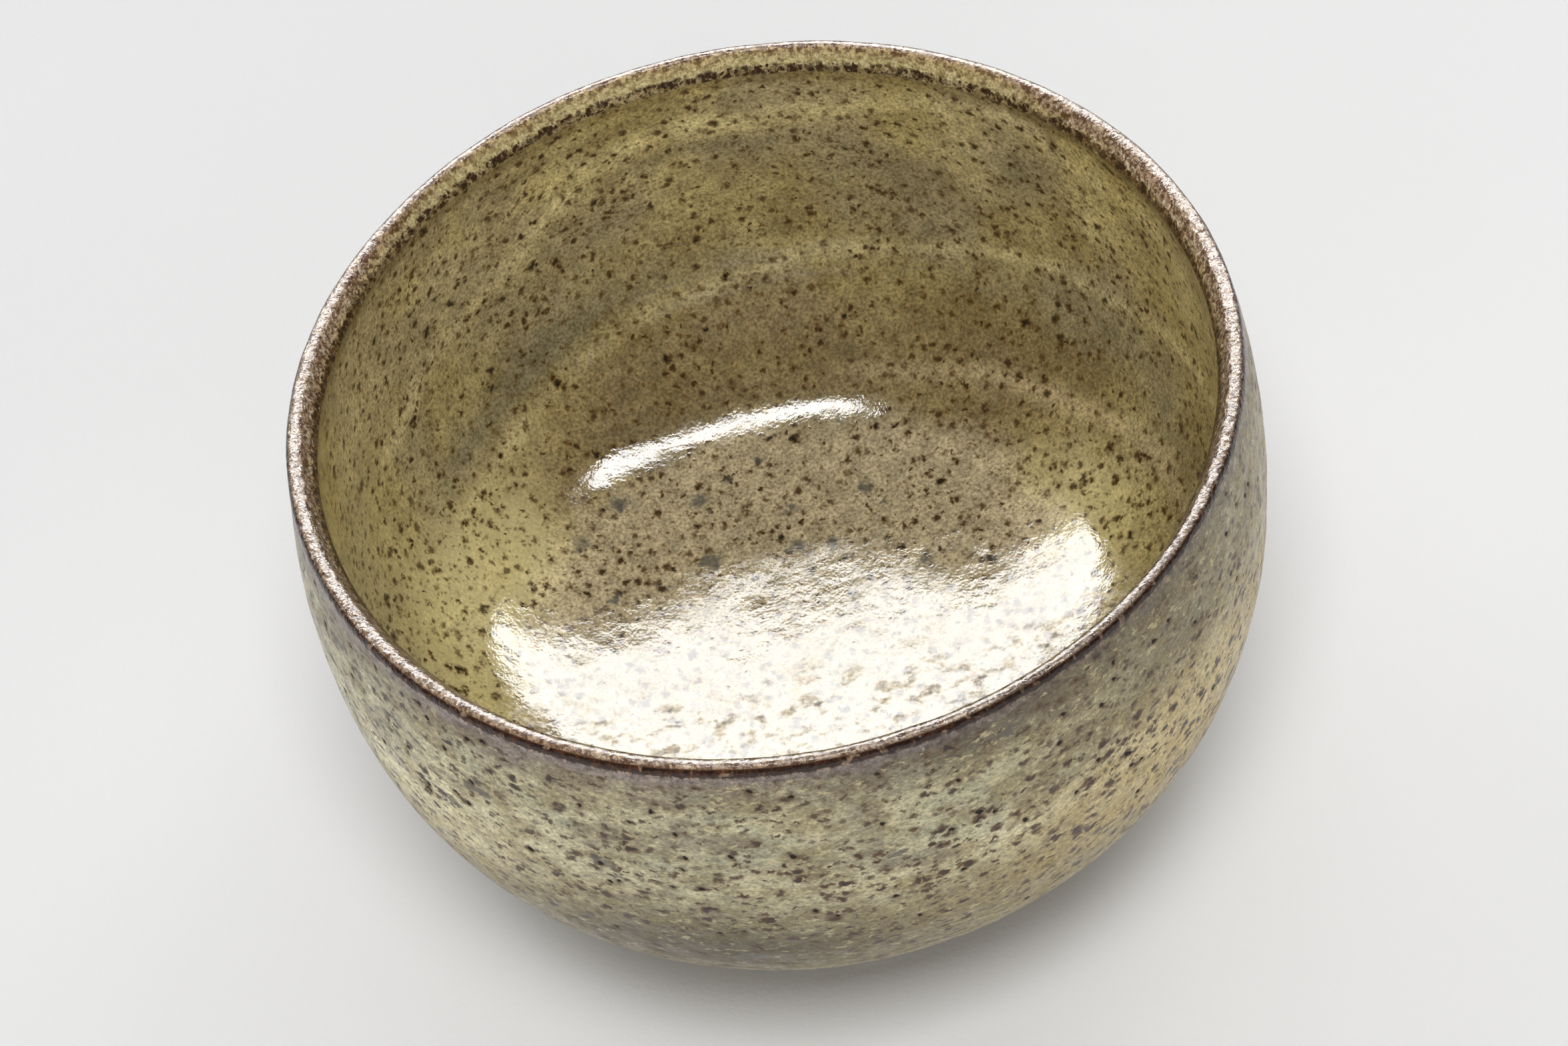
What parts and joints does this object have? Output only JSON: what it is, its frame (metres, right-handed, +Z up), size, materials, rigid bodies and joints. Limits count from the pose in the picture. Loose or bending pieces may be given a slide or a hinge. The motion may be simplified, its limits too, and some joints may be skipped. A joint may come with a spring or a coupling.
{
  "type": "matcha bowl",
  "caption": "Round-bellied stoneware tea bowl with an inward-leaning wall, a rounded lip and a small foot ring.",
  "frame": {"origin": "centre of the foot ring's standing face", "axes": "+Z up along the turning axis, +X and +Y any two directions across the round bowl"},
  "size_m": [0.125, 0.125, 0.074],
  "materials": {
    "stoneware": "matt fired brown stoneware with fine turning lines",
    "bare_clay": "matt unglazed foot, trimmed, toasted brown",
    "outer_glaze": "satin grey-green ash glaze with rust specks and pinholes",
    "inner_glaze": "glossy olive-beige liner glaze with dense rust specks",
    "lip_glaze": "glossy, breaking from iron brown outside to cream inside"
  },
  "bodies": {
    "root": {"clay_body": "stoneware", "foot_ring": "bare_clay", "outer_glaze": "outer_glaze", "inner_glaze": "inner_glaze", "lip_band": "lip_glaze"}
  },
  "joints": []
}
